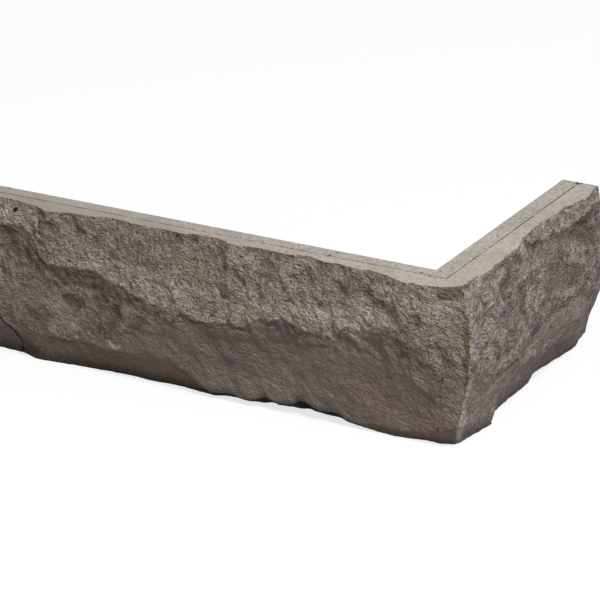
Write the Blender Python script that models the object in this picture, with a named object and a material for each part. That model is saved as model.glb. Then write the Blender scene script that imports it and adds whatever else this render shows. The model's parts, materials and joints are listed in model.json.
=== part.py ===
"""Rock-faced cladding corner: one cast stone that wraps the outside corner of a wall.

The wall's corner stands at the inner angle. The long leg runs from it along -X and shows its rock
face to -Y. The short leg runs along +Y and shows its rock face to +X. The body is a loft: a closed
section is carried along the long leg, round the corner on a mitre, and along the short leg. Each
section passes through five guide lines, which are the stone's top edge, crown, ridge, foot and
bottom edge.
"""
import bisect

import bmesh
import bpy
from mathutils import Vector, noise

# Overall sizes, in metres. A leg is measured over the corner, along the top edge, where the face
# of the other leg stands out past THICKNESS by its corner projection.
HEIGHT = 0.100
LONG_LEG = 0.400
SHORT_LEG = 0.200
THICKNESS = 0.020
SHORT_CORNER_PROJECTION = 0.0075
LONG_CORNER_PROJECTION = 0.0025

# The mould's parting line, a fine groove that goes round the edges of both legs.
LONG_SEAM_SETBACK = 0.0098
SHORT_SEAM_SETBACK = 0.0115
SEAM_WIDTH = 0.0009
SEAM_DEPTH = 0.0007

# Spacing of the sections, and the number of steps between neighbouring guide lines.
SECTION_PITCH = 0.0037
CROWN_STEPS = 12
BELLY_STEPS = 12
FOOT_STEPS = 4
MITRE_REACH = 0.040
ARRIS_ROUNDING = 0.0034
ARRIS_SEGMENTS = 2

# Relief that lies over the guide lines: broad swells, flat-sided chips and small lumps, which
# are drawn out along the stone's bed. They are fainter below the ridge.
BED_DIRECTION = Vector((1.0, 1.0, -0.95)).normalized()
BED_STRETCH = 2.0
SWELL_SIZE = 0.042
SWELL_HEIGHT = 0.0016
CHIP_SIZE = 0.0130
CHIP_HEIGHT = 0.0034
CHIP_LEVEL_SHARE = 0.6
LUMP_SIZE = 0.0080
LUMP_HEIGHT = 0.0012
SMOOTH_SHARE = 0.35
SMOOTH_ROWS = 3
EDGE_FADE = 0.006
EDGE_RAGGEDNESS = 0.0004
EDGE_GRAIN = 0.006

# The corner's arris, top to bottom: share of the height, how far it stands out past THICKNESS
# on the short leg's side, and how far on the long leg's side.
ARRIS_TOP = (1.00, 0.0055, -0.0035)
ARRIS_RIDGE = (0.43, 0.0155, 0.0098)
ARRIS_FOOT = (0.16, 0.0112, 0.0096)
ARRIS_BOTTOM = (0.00, 0.0044, 0.0002)

# How far the arris swells out between its top and its ridge, in the same order.
ARRIS_CROWN = (0.00, 0.0060, 0.0040)

# Guide lines of each leg: distance from the wall's corner, share of the height, and how far the
# stone stands out past THICKNESS there. Distances below zero lie in the block of the corner.
LONG_TOP_EDGE = (
    (-0.019, 1.0, 0.0012), (-0.013, 1.0, 0.0042), (-0.005, 1.0, 0.0058), (0.008, 1.0, 0.0075),
    (0.016, 1.0, 0.0048), (0.023, 1.0, 0.0018), (0.036, 1.0, -0.0010), (0.041, 1.0, 0.0018),
    (0.049, 1.0, 0.0001), (0.057, 1.0, -0.0010), (0.065, 1.0, 0.0006), (0.075, 1.0, -0.0034),
    (0.081, 1.0, -0.0036), (0.086, 1.0, -0.0006), (0.100, 1.0, -0.0002), (0.110, 1.0, -0.0017),
    (0.119, 1.0, 0.0002), (0.128, 1.0, 0.0020), (0.137, 1.0, -0.0032), (0.147, 1.0, -0.0052),
    (0.156, 1.0, -0.0040), (0.160, 1.0, 0.0002), (0.176, 1.0, -0.0018), (0.195, 1.0, -0.0012),
    (0.207, 1.0, -0.0033), (0.218, 1.0, -0.0030), (0.226, 1.0, 0.0000), (0.240, 1.0, 0.0008),
    (0.248, 1.0, 0.0040), (0.257, 1.0, 0.0060), (0.266, 1.0, 0.0004), (0.274, 1.0, -0.0002),
    (0.284, 1.0, -0.0030), (0.300, 1.0, -0.0020), (0.335, 1.0, 0.0000), (0.372, 1.0, -0.0010))
LONG_RIDGE = (
    (-0.028, 0.43, 0.0122), (-0.015, 0.44, 0.0130), (0.000, 0.50, 0.0128), (0.009, 0.66, 0.0120),
    (0.020, 0.70, 0.0114), (0.029, 0.67, 0.0118), (0.045, 0.65, 0.0124), (0.055, 0.57, 0.0132),
    (0.078, 0.61, 0.0130), (0.092, 0.62, 0.0130), (0.107, 0.56, 0.0136), (0.125, 0.535, 0.0140),
    (0.150, 0.525, 0.0145), (0.164, 0.51, 0.0146), (0.173, 0.57, 0.0140), (0.198, 0.61, 0.0136),
    (0.208, 0.65, 0.0130), (0.218, 0.69, 0.0124), (0.248, 0.69, 0.0120), (0.262, 0.76, 0.0105),
    (0.275, 0.83, 0.0080), (0.286, 0.87, 0.0062), (0.300, 0.84, 0.0066), (0.330, 0.72, 0.0100),
    (0.372, 0.66, 0.0110))
LONG_FOOT = (
    (-0.024, 0.13, 0.0104), (-0.012, 0.08, 0.0098), (0.010, 0.06, 0.0092), (0.030, 0.05, 0.0088),
    (0.042, 0.04, 0.0078), (0.053, 0.075, 0.0080), (0.062, 0.09, 0.0084), (0.070, 0.10, 0.0088),
    (0.074, 0.12, 0.0090), (0.078, 0.09, 0.0088), (0.088, 0.065, 0.0088), (0.101, 0.075, 0.0094),
    (0.110, 0.045, 0.0094), (0.124, 0.055, 0.0098), (0.138, 0.055, 0.0098), (0.148, 0.09, 0.0100),
    (0.156, 0.15, 0.0104), (0.164, 0.185, 0.0106), (0.184, 0.195, 0.0108), (0.213, 0.190, 0.0106),
    (0.250, 0.195, 0.0106), (0.264, 0.19, 0.0102), (0.278, 0.18, 0.0092), (0.290, 0.23, 0.0086),
    (0.302, 0.20, 0.0086), (0.330, 0.15, 0.0096), (0.372, 0.14, 0.0094))
LONG_BOTTOM_EDGE = (
    (-0.0155, 0.0, 0.0034), (-0.0105, 0.0, 0.0028), (-0.0045, 0.0, 0.0032), (0.005, 0.0, 0.0054),
    (0.015, 0.0, 0.0062), (0.0205, 0.0, 0.0058), (0.0325, 0.0, 0.0039), (0.0445, 0.0, 0.0017),
    (0.057, 0.0, -0.0017), (0.069, 0.0, -0.0037), (0.0805, 0.0, -0.0043), (0.091, 0.0, -0.0028),
    (0.106, 0.0, -0.0008), (0.1215, 0.0, 0.0020), (0.137, 0.0, 0.0037), (0.149, 0.0, 0.0025),
    (0.167, 0.0, 0.0005), (0.184, 0.0, 0.0021), (0.196, 0.0, 0.0010), (0.213, 0.0, 0.0013),
    (0.229, 0.0, 0.0026), (0.2405, 0.0, 0.0034), (0.251, 0.0, 0.0049), (0.2625, 0.0, 0.0059),
    (0.269, 0.0, 0.0045), (0.277, 0.0, 0.0011), (0.2835, 0.0, 0.0006), (0.296, 0.0, -0.0001),
    (0.335, 0.0, 0.0012), (0.372, 0.0, 0.0006))
SHORT_TOP_EDGE = (
    (-0.0125, 1.0, 0.0057), (-0.005, 1.0, 0.0057), (-0.001, 1.0, 0.0045), (0.003, 1.0, 0.0076),
    (0.014, 1.0, 0.0084), (0.028, 1.0, 0.0075), (0.039, 1.0, 0.0063), (0.048, 1.0, 0.0062),
    (0.057, 1.0, 0.0076), (0.070, 1.0, 0.0030), (0.084, 1.0, 0.0014), (0.100, 1.0, 0.0006),
    (0.108, 1.0, 0.0012), (0.119, 1.0, 0.0029), (0.133, 1.0, 0.0018), (0.140, 1.0, 0.0044),
    (0.159, 1.0, 0.0072), (0.172, 1.0, 0.0044), (0.178, 1.0, 0.0042))
SHORT_RIDGE = (
    (-0.025, 0.44, 0.0172), (-0.013, 0.44, 0.0174), (0.006, 0.40, 0.0162), (0.025, 0.35, 0.0152),
    (0.048, 0.28, 0.0144), (0.064, 0.29, 0.0142), (0.074, 0.35, 0.0146), (0.097, 0.34, 0.0146),
    (0.129, 0.31, 0.0138), (0.155, 0.34, 0.0126), (0.178, 0.37, 0.0108))
SHORT_FOOT = (
    (-0.022, 0.14, 0.0120), (-0.012, 0.12, 0.0124), (0.010, 0.09, 0.0124), (0.019, 0.10, 0.0120),
    (0.025, 0.16, 0.0106), (0.050, 0.18, 0.0106), (0.072, 0.18, 0.0110), (0.082, 0.20, 0.0108),
    (0.105, 0.20, 0.0104), (0.130, 0.16, 0.0094), (0.146, 0.14, 0.0078), (0.158, 0.18, 0.0062),
    (0.178, 0.16, 0.0024))
SHORT_BOTTOM_EDGE = (
    (-0.0140, 0.0, 0.0056), (-0.0015, 0.0, 0.0073), (0.0145, 0.0, 0.0094), (0.0185, 0.0, 0.0100),
    (0.0230, 0.0, 0.0060), (0.0290, 0.0, 0.0036), (0.0400, 0.0, 0.0027), (0.0620, 0.0, 0.0020),
    (0.0780, 0.0, 0.0022), (0.0900, 0.0, 0.0010), (0.0950, 0.0, -0.0010), (0.1020, 0.0, -0.0021),
    (0.1130, 0.0, -0.0006), (0.1215, 0.0, 0.0000), (0.1330, 0.0, 0.0013), (0.1485, 0.0, 0.0028),
    (0.1570, 0.0, 0.0022), (0.1630, 0.0, 0.0002), (0.1780, 0.0, -0.0016))

# How far the face swells between its top edge and its ridge: distance from the corner, swell.
LONG_CROWN = ((0.000, 0.0036), (0.020, 0.0024), (0.060, 0.0014), (0.120, 0.0006), (0.200, 0.0004))
SHORT_CROWN = ((0.000, 0.0040), (0.020, 0.0030), (0.060, 0.0018), (0.120, 0.0012), (0.178, 0.0016))

# Shallow hollows that the hewing left: distance from the corner, share of the height, half of
# the length, half of the height, depth. A depth below zero is a boss that stands out.
LONG_HOLLOWS = (
    (0.268, 0.74, 0.020, 0.012, 0.0016), (0.229, 0.58, 0.014, 0.008, 0.0012),
    (0.203, 0.44, 0.008, 0.007, 0.0011), (0.259, 0.31, 0.010, 0.008, 0.0014),
    (0.132, 0.41, 0.030, 0.009, 0.0009), (0.086, 0.47, 0.022, 0.007, 0.0010),
    (0.025, 0.56, 0.018, 0.009, 0.0011), (0.284, 0.11, 0.014, 0.012, 0.0018),
    (0.271, 0.06, 0.008, 0.009, 0.0032), (0.253, 0.91, 0.009, 0.005, 0.0012),
    (0.284, 0.93, 0.013, 0.007, -0.0014), (0.119, 0.65, 0.008, 0.005, 0.0011))
SHORT_HOLLOWS = (
    (0.041, 0.85, 0.010, 0.008, 0.0018), (0.056, 0.95, 0.006, 0.005, 0.0015),
    (0.086, 0.90, 0.010, 0.005, 0.0016), (0.072, 0.92, 0.009, 0.005, -0.0014),
    (0.148, 0.77, 0.026, 0.011, 0.0020), (0.120, 0.59, 0.020, 0.007, 0.0012),
    (0.066, 0.56, 0.012, 0.006, 0.0009))

# The crack that parts a loose chunk from the long leg's foot: distance from the corner, height,
# and the crack's width at that place.
CRACK_PATH = (
    (0.3020, 0.0282, 0.0004), (0.2900, 0.0222, 0.0009), (0.2840, 0.0184, 0.0012),
    (0.2790, 0.0146, 0.0015), (0.2764, 0.0116, 0.0018), (0.2767, 0.0060, 0.0018),
    (0.2772, -0.0010, 0.0016))
CRACK_FLOOR = 0.0195
CRACK_CLEARANCE = 0.0100

STONE_COLOUR = (0.250, 0.222, 0.196, 1.0)
STONE_ROUGHNESS = 0.92
SHARP_ANGLE = 0.6

MERGE_DISTANCE = 0.00001


def clear_scene():
    for item in list(bpy.data.objects):
        bpy.data.objects.remove(item, do_unlink=True)


def new_collection(name):
    collection = bpy.data.collections.new(name)
    bpy.context.scene.collection.children.link(collection)
    return collection


def stone_material():
    material = bpy.data.materials.new("cast_stone")
    material.use_nodes = True
    shader = material.node_tree.nodes["Principled BSDF"]
    shader.inputs["Base Color"].default_value = STONE_COLOUR
    shader.inputs["Roughness"].default_value = STONE_ROUGHNESS
    shader.inputs["Metallic"].default_value = 0.0
    material.diffuse_color = STONE_COLOUR
    return material


def mix(first, second, share):
    return first + (second - first) * share


def follow(line, station):
    """The values of a guide line at one distance from the corner, between its own points."""
    stations = [point[0] for point in line]
    after = bisect.bisect_left(stations, station)
    if after == 0:
        return line[0][1:]
    if after == len(line):
        return line[-1][1:]
    before, beyond = line[after - 1], line[after]
    share = (station - before[0]) / (beyond[0] - before[0])
    return tuple(mix(a, b, share) for a, b in zip(before[1:], beyond[1:]))


def bump(distance):
    """A smooth swell: one at the middle, and nothing from a distance of one outwards."""
    return (1.0 - distance) ** 2 * (1.0 + 2.0 * distance) if distance < 1.0 else 0.0


class Leg:
    """One leg of the corner: its guide lines, and how its own directions lie in space."""

    def __init__(self, length, side, guides, crown, hollows, seam_setback, place):
        self.side = side
        self.place = place
        self.length = length
        self.hollows = hollows
        self.seam_setback = seam_setback
        arrises = (ARRIS_TOP, ARRIS_RIDGE, ARRIS_FOOT, ARRIS_BOTTOM)
        other = 2 if side == 1 else 1
        self.reaches = [THICKNESS + arris[side] for arris in arrises]
        self.guides = [
            ((-reach, arris[0], arris[other]),) + guide
            for reach, arris, guide in zip(self.reaches, arrises, guides)]
        self.reach_crown = ARRIS_CROWN[side]
        self.crown = ((-self.reaches[1], ARRIS_CROWN[other]),) + crown

    def mitre(self, back):
        """The share of the corner block that a section at this place on the back takes up."""
        return max(0.0, 1.0 - back / MITRE_REACH)

    def seam_points(self, back, height, floor, other_setback):
        """The groove's three points, outwards, on the top or the bottom of a section."""
        half = SEAM_WIDTH / 2
        points = []
        for offset, level in ((-half, height), (0.0, floor), (half, height)):
            along = back - self.mitre(back) * (other_setback + offset)
            points.append((along, self.seam_setback + offset, level))
        return points

    def face_point(self, back, row):
        """A point of the rock face, counted in rows from the top edge to the bottom edge."""
        steps = (CROWN_STEPS, BELLY_STEPS, FOOT_STEPS)
        band = 0
        while band < 2 and row > steps[band]:
            row -= steps[band]
            band += 1
        share = row / steps[band]
        swell = 4.0 * share * (1.0 - share) if band == 0 else 0.0
        reach = mix(self.reaches[band], self.reaches[band + 1], share) + swell * self.reach_crown
        along = back - self.mitre(back) * reach
        upper = follow(self.guides[band], along)
        lower = follow(self.guides[band + 1], along)
        height = mix(upper[0], lower[0], share)
        depth = THICKNESS + mix(upper[1], lower[1], share)
        depth += swell * follow(self.crown, along)[0]
        depth += self.relief(along, depth, height, band, share)
        return along, depth, height * HEIGHT

    def relief(self, along, depth, height, band, share):
        """What the hewing adds to the smooth face at one point."""
        on_top_edge = band == 0 and share == 0.0
        on_bottom_edge = band == 2 and share == 1.0
        point = Vector(self.place(along, depth, height * HEIGHT))
        if on_top_edge or on_bottom_edge:
            return EDGE_RAGGEDNESS * noise.noise(point / EDGE_GRAIN)
        coarse = 1.0
        if band == 1:
            coarse = mix(1.0, SMOOTH_SHARE, min(1.0, share * BELLY_STEPS / SMOOTH_ROWS))
        if band == 2:
            coarse = SMOOTH_SHARE
        near_edge = min(1.0, (1.0 - height) * HEIGHT / EDGE_FADE, height * HEIGHT / EDGE_FADE)
        bedded = point - BED_DIRECTION * point.dot(BED_DIRECTION) * (1.0 - 1.0 / BED_STRETCH)
        raised = SWELL_HEIGHT * noise.noise(point / SWELL_SIZE)
        raised += coarse * (chips(bedded) + LUMP_HEIGHT * noise.noise(bedded / LUMP_SIZE))
        for station, level, half_length, half_height, deep in self.hollows:
            across = (along - station) / half_length
            up = (height - level) * HEIGHT / half_height
            raised -= deep * bump((across * across + up * up) ** 0.5)
        return near_edge * raised


def chips(point):
    """Flat-sided chips: each cell of the stone has a level and a tilt of its own."""
    scaled = point / CHIP_SIZE
    nearest = noise.voronoi(scaled)[1][0]
    level = noise.cell(nearest) / 2.0
    tilt = noise.cell_vector(nearest) - Vector((0.5, 0.5, 0.5))
    return CHIP_HEIGHT * (CHIP_LEVEL_SHARE * level + (scaled - nearest).dot(tilt))


def long_place(along, depth, height):
    return -along, -depth, height


def short_place(along, depth, height):
    return depth, along, height


def back_stations(leg):
    """Places of the sections on the leg's back, from its end to the wall's corner."""
    corner = leg.reaches[1]
    count = round((leg.length + corner) / SECTION_PITCH)
    stations = []
    for index in range(count + 1):
        face = leg.length - index * (leg.length + corner) / count
        if face < MITRE_REACH:
            face = MITRE_REACH * (face + corner) / (MITRE_REACH + corner)
        stations.append(face)
    return stations


def section(leg, back, other_setback):
    """One closed section of a leg: up the back, over the top, down the face, under the foot."""
    rows = CROWN_STEPS + BELLY_STEPS + FOOT_STEPS
    points = [(back, 0.0, 0.0), (back, 0.0, HEIGHT)]
    points += leg.seam_points(back, HEIGHT, HEIGHT - SEAM_DEPTH, other_setback)
    points += [leg.face_point(back, row) for row in range(rows + 1)]
    points += reversed(leg.seam_points(back, 0.0, SEAM_DEPTH, other_setback))
    return [Vector(leg.place(*point)) for point in points]


def make_legs():
    long_back = LONG_LEG - THICKNESS - SHORT_CORNER_PROJECTION
    short_back = SHORT_LEG - THICKNESS - LONG_CORNER_PROJECTION
    long_guides = (LONG_TOP_EDGE, LONG_RIDGE, LONG_FOOT, LONG_BOTTOM_EDGE)
    short_guides = (SHORT_TOP_EDGE, SHORT_RIDGE, SHORT_FOOT, SHORT_BOTTOM_EDGE)
    long_leg = Leg(
        long_back, 1, long_guides, LONG_CROWN, LONG_HOLLOWS, LONG_SEAM_SETBACK, long_place)
    short_leg = Leg(
        short_back, 2, short_guides, SHORT_CROWN, SHORT_HOLLOWS, SHORT_SEAM_SETBACK, short_place)
    return long_leg, short_leg


def loft(bm, sections):
    """Wraps a grid round the sections and closes its two ends."""
    columns = len(sections) - 1
    rows = len(sections[0])
    bmesh.ops.create_grid(bm, x_segments=columns, y_segments=rows, size=1.0)
    for vert in bm.verts:
        column = round((vert.co.x + 1.0) / 2.0 * columns)
        row = round((vert.co.y + 1.0) / 2.0 * rows) % rows
        vert.co = sections[column][row]
    bmesh.ops.remove_doubles(bm, verts=bm.verts, dist=MERGE_DISTANCE)
    open_edges = [edge for edge in bm.edges if edge.is_boundary]
    bmesh.ops.holes_fill(bm, edges=open_edges, sides=rows + 1)


def vert_at(bm, place):
    return min(bm.verts, key=lambda vert: (vert.co - place).length_squared)


def groove_end(bm, outline, inwards):
    """Carries the parting line's groove down one end of the stone."""
    top = outline[2:5]
    bottom = list(reversed(outline[-3:]))
    for upper, lower in zip(top, bottom):
        bmesh.ops.connect_verts(bm, verts=[vert_at(bm, upper), vert_at(bm, lower)])
    for middle in (top[1], bottom[1]):
        vert_at(bm, middle).co += inwards * SEAM_DEPTH


def add_object(name, bm, collection, material=None):
    mesh = bpy.data.meshes.new(name)
    bm.to_mesh(mesh)
    bm.free()
    item = bpy.data.objects.new(name, mesh)
    collection.objects.link(item)
    if material:
        mesh.materials.append(material)
    return item


def round_arris(bm, outline):
    """Rounds the corner's arris from the top edge down to the bottom edge."""
    face = outline[5:-3]
    arris = [vert_at(bm, place) for place in face]
    edges = [
        edge for edge in bm.edges
        if edge.verts[0] in arris and edge.verts[1] in arris]
    bmesh.ops.bevel(
        bm, geom=edges, offset=ARRIS_ROUNDING, offset_type="OFFSET", affect="EDGES",
        segments=ARRIS_SEGMENTS, profile=0.5, material=-1, clamp_overlap=True)


def make_crack_cutter(collection):
    """A thin wedge that follows the crack, wide at the face and closed behind it."""
    bm = bmesh.new()
    front = THICKNESS + ARRIS_RIDGE[1] + CRACK_CLEARANCE
    behind = CRACK_FLOOR
    above = []
    below = []
    for station, level, width in CRACK_PATH:
        above.append(Vector((station, 0.0, level + width / 2)))
        below.append(Vector((station + width / 2, 0.0, level - width / 2)))
    outline = [bm.verts.new(point) for point in above + list(reversed(below))]
    face = bm.faces.new(outline)
    for vert in bm.verts:
        vert.co = Vector(long_place(vert.co.x, behind, vert.co.z))
    pushed = bmesh.ops.extrude_face_region(bm, geom=[face])
    moved = [item for item in pushed["geom"] if isinstance(item, bmesh.types.BMVert)]
    bmesh.ops.translate(bm, verts=moved, vec=(0.0, behind - front, 0.0))
    bmesh.ops.recalc_face_normals(bm, faces=bm.faces)
    cutter = add_object("crack_cutter", bm, collection)
    cutter.hide_render = True
    cutter.display_type = "WIRE"
    return cutter


def make_stone(collection, cutters):
    long_leg, short_leg = make_legs()
    long_stations = back_stations(long_leg)
    short_stations = list(reversed(back_stations(short_leg)))[1:]
    sections = [section(long_leg, back, SHORT_SEAM_SETBACK) for back in long_stations]
    sections += [section(short_leg, back, LONG_SEAM_SETBACK) for back in short_stations]
    bm = bmesh.new()
    loft(bm, sections)
    groove_end(bm, sections[0], Vector((1.0, 0.0, 0.0)))
    groove_end(bm, sections[-1], Vector((0.0, -1.0, 0.0)))
    round_arris(bm, sections[len(long_stations) - 1])
    bmesh.ops.recalc_face_normals(bm, faces=bm.faces)
    stone = add_object("stone_corner", bm, collection, stone_material())
    stone.data.shade_smooth()
    stone.data.set_sharp_from_angle(angle=SHARP_ANGLE)
    cut = stone.modifiers.new("crack", "BOOLEAN")
    cut.operation = "DIFFERENCE"
    cut.solver = "EXACT"
    cut.object = make_crack_cutter(cutters)
    return stone


def centre_on_floor(items):
    """Moves everything so that the stone's box has the middle of its foot at the origin."""
    stone = items[0]
    xs = [vert.co.x for vert in stone.data.vertices]
    ys = [vert.co.y for vert in stone.data.vertices]
    middle = Vector(((min(xs) + max(xs)) / 2, (min(ys) + max(ys)) / 2, 0.0))
    for item in items:
        item.location = -middle


def main():
    clear_scene()
    collection = new_collection("cladding_corner")
    cutters = new_collection("cutters")
    stone = make_stone(collection, cutters)
    centre_on_floor([stone, *cutters.objects])


main()
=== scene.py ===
"""Hews, weathers and stages a rock-faced cladding corner stone, for a wall's outside corner."""
import bisect
import json
import math

import bmesh
import bpy
from bpy.props import FloatProperty, FloatVectorProperty, IntProperty, PointerProperty
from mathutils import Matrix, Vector, noise


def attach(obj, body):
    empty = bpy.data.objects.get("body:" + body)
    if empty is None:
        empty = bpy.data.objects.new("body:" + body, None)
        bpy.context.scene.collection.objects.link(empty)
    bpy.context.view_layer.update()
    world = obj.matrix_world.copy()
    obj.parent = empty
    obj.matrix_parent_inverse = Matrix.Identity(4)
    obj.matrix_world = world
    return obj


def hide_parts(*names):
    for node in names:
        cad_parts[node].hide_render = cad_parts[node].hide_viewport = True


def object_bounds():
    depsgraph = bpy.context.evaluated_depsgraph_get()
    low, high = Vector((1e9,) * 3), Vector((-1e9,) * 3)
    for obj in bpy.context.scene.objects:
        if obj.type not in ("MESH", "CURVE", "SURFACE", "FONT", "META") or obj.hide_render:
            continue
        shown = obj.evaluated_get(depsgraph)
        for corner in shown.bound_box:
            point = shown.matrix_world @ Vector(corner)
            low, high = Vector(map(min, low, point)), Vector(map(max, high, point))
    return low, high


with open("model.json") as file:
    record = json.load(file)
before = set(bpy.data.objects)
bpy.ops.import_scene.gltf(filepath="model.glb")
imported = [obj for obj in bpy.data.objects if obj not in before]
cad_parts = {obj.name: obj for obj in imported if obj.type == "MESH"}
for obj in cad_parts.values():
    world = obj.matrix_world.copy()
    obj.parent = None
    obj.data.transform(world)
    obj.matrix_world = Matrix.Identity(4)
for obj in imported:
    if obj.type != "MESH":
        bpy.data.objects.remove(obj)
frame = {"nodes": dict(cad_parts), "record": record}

bl_info = {
    "name": "Stone Cladding Corner",
    "version": (1, 0, 0),
    "blender": (4, 5, 0),
    "location": "View3D > Sidebar > Cladding",
    "description": "Hews, weathers and stages a rock-faced corner stone",
    "category": "Object",
}

# The two legs, and the order of the stone's materials.
LONG = 0
SHORT = 1
HEWN = 0
FRONT_STRIP = 1
BACK_STRIP = 2

# One millimetre, in metres.
MM = 0.001


def outline(*points):
    """A line of points given in millimetres."""
    return tuple((station * MM, level * MM) for station, level in points)


def strengths(*points):
    """A line of strengths, each at a distance given in millimetres."""
    return tuple((station * MM, strength) for station, strength in points)


class Marks:
    """Soft-edged oval marks on each leg's rock face, with their sizes given in millimetres."""

    def __init__(self, on_long=(), on_short=()):
        self.ovals = {LONG: [], SHORT: []}
        for leg, turned, rows in ((LONG, -1, on_long), (SHORT, 1, on_short)):
            for *sizes, lean, strength in rows:
                along, height, half_length, half_width = (size * MM for size in sizes)
                turn = math.radians(turned * lean)
                self.ovals[leg].append((
                    along, height, math.cos(turn), math.sin(turn), half_length, half_width,
                    strength, 1.5 * max(half_length, half_width)))

    def at(self, leg, along, height):
        """The strength of the strongest mark at one place."""
        most = 0.0
        for oval in self.ovals[leg]:
            middle, level, cosine, sine, half_length, half_width, strength, reach = oval
            across = along - middle
            up = height - level
            if abs(across) > reach or abs(up) > reach:
                continue
            length = (across * cosine + up * sine) / half_length
            width = (up * cosine - across * sine) / half_width
            most = max(most, strength * eased(1.5 - math.hypot(length, width)))
        return most

    def drifted(self, place):
        """The same, with marks whose outlines drift."""
        return self.at(place.leg, place.along + place.drift.x, place.height + place.drift.z)


# The cast stone, and where the wall's corner touches its inner angle.
STONE_NODE = "stone_corner"
CAST_LOW, CAST_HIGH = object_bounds()
MOUNTS = {mount["name"]: mount["pos_m"] for mount in frame["record"]["mounts"]}
WALL_X = MOUNTS["short_leg_back"][0]
WALL_Y = MOUNTS["long_leg_back"][1]
HEIGHT = CAST_HIGH.z - CAST_LOW.z

# The moulded seam: its depth, and how far it runs in front of each leg's back.
SEAM_DEPTH = 0.0007
LONG_SEAM_SETBACK = 0.0098
SHORT_SEAM_SETBACK = 0.0115
SEAM_TOLERANCE = 0.0001

# How far a flat face may lie from its plane, how close points are joined into one, and from what
# angle in radians a moulded edge is sharp.
FLAT_DEPTH = 0.00075
MERGE_DISTANCE = 0.00001
SHARP_ANGLE = 0.3

# All tables of places are in millimetres, and all single sizes in metres. A line of places gives
# the distance from the wall's corner along a leg and the height.

# Height, and how much further the arris stands out from the long leg's back than from the
# short leg's back.
ARRIS_LINE = outline(
    (0, -4.2), (16, -1.6), (43, -5.7), (57.3, -8), (71.5, -9.4), (85.8, -9.7), (100, -9))

# Where the coarse broken stone gives way to the smooth stone below it.
COARSE_LINES = {
    LONG: outline(
        (-34, 46), (-15, 48), (0, 52.5), (4.6, 65), (17.2, 69), (46.2, 63), (51.3, 57), (79.3, 60),
        (101.6, 60.5), (108.8, 54.6), (143.9, 51.5), (161.7, 51.5), (175, 46), (190, 38), (205, 28),
        (225, 21), (250, 20), (275, 24), (300, 26), (340, 34), (372, 36)),
    SHORT: outline(
        (-30, 44), (0, 36), (17.4, 33), (42, 34), (59.1, 39.5), (73, 45.5), (104, 44.5), (135, 46),
        (178, 47)),
}

# The crest over which the long leg's coarse stone breaks off, and the foot of the short leg's
# crumbly lip.
CRESTS = {
    LONG: outline(
        (0, 52.5), (1.7, 60.7), (4.6, 66.6), (9.2, 69.8), (17.2, 70.1), (33.6, 65), (39.8, 63.7),
        (46.2, 63.8), (51.3, 57.3), (62.1, 57), (72.5, 59.3), (79.3, 60.8), (101.6, 60.9),
        (103.4, 57.8), (108.8, 54.6), (116.4, 53.6), (127.7, 51.7), (138.2, 52.2), (143.9, 51.8),
        (148.1, 54.6), (153.4, 54.9), (161.7, 51.5), (167.7, 54.5), (177.6, 57.9), (193.2, 61.2),
        (198.2, 63.8), (205.2, 64.9), (212.7, 66.7), (223.8, 70.1), (250, 68.2), (258.1, 71.4),
        (262.5, 77.3), (267.4, 82.9), (273.9, 87.6), (288.8, 85.6), (320, 74), (372, 66)),
    SHORT: outline(
        (72.5, 97.2), (85.3, 93.1), (95.3, 91.6), (101.4, 91.7), (117, 89.1), (134.7, 87.4),
        (143.8, 88.7), (150.7, 89.2), (157.3, 90.6), (175, 92)),
}

# How strongly the lip above the crest is painted pale, partly its own pale tone and partly a
# painted highlight where the crest catches the light, and how deeply the stone below it is
# painted with shade.
CREST_LIPS = {
    LONG: strengths(
        (0, 0.2), (5, 0.9), (45, 1.1), (50, 1.0), (100, 1.1), (130, 0.8), (165, 0.6), (200, 0.7),
        (245, 0.5), (258, 0.15), (272, 0.25), (280, 0.9), (300, 0.5)),
    SHORT: strengths((64, 0.0), (72, 1.2)),
}
CREST_SHADES = {
    LONG: strengths(
        (0, 0.2), (10, 0.35), (50, 0.45), (100, 0.6), (130, 0.45), (165, 0.35), (190, 0.75),
        (250, 0.85), (290, 0.9)),
    SHORT: strengths((66, 0.0), (74, 0.5), (120, 0.6)),
}
# Above the crest: over what height the pale lip fades out, over what heights the raised lip rises
# and dies out, and over what heights stains and painted shade fade out at the lip and come back
# above it.
LIP_BREADTHS = {LONG: 0.0045, SHORT: 0.0300}
LIP_RISE = 0.0016
LIP_FALL = 0.0080
CLEAN_RISE = 0.0030
CLEAN_FALL = 0.0090
# How far from their lines the bands at the crest, at the foot and at the arris are worked out.
CREST_REACH = 0.02
BAND_REACH = 0.01
# How gradually the crest gives way to the stone below it.
CREST_SOFTNESS = {
    LONG: strengths((60, 4.5), (160, 4.0), (190, 2.0), (250, 1.8)),
    SHORT: strengths((0, 1.0)),
}

# The top edge of the long leg's bare foot.
FOOT_LINE = outline(
    (139, -10), (140, 0), (142, 5.8), (152.4, 12.4), (161.9, 18.5), (172.8, 20.7), (195.2, 20.7),
    (213, 19.6), (233.6, 19.7), (253.4, 19.3), (260, 15), (264, 0), (265, -10))

# The shade under the long leg's foot: how high it reaches, over what height it fades and how deep
# it is, each by the distance from the wall's corner. On the short leg all three stay the same.
SHADE_REACHES = outline(
    (30, 8), (42.4, 4.5), (49.1, 6.5), (56.5, 6.8), (60.4, 5.4), (66.4, 4.6), (71.1, 4.8),
    (74, 7.4), (76.2, 9.5), (77.4, 9.7), (80.7, 7.9), (89.6, 6.4), (97.7, 3.4), (100, 5.5),
    (101.4, 7.3), (104.3, 6.5), (112, 5), (114.8, 4.4), (118.5, 4.9), (123.4, 4.1), (127.4, 4.7),
    (130.3, 4.4), (132.9, 2.9), (135.6, 3.6), (144.4, 5.6), (149, 12.5))
SHADE_FADES = outline((36, 8), (42, 1.2), (144.4, 1.2), (149, 12.5))
SHADE_DEPTHS = strengths((36, 0.45), (42, 1.0), (145, 1.0), (149, 0.75))
SHORT_SHADE = (0.0100, 0.0100, 0.35)
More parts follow.
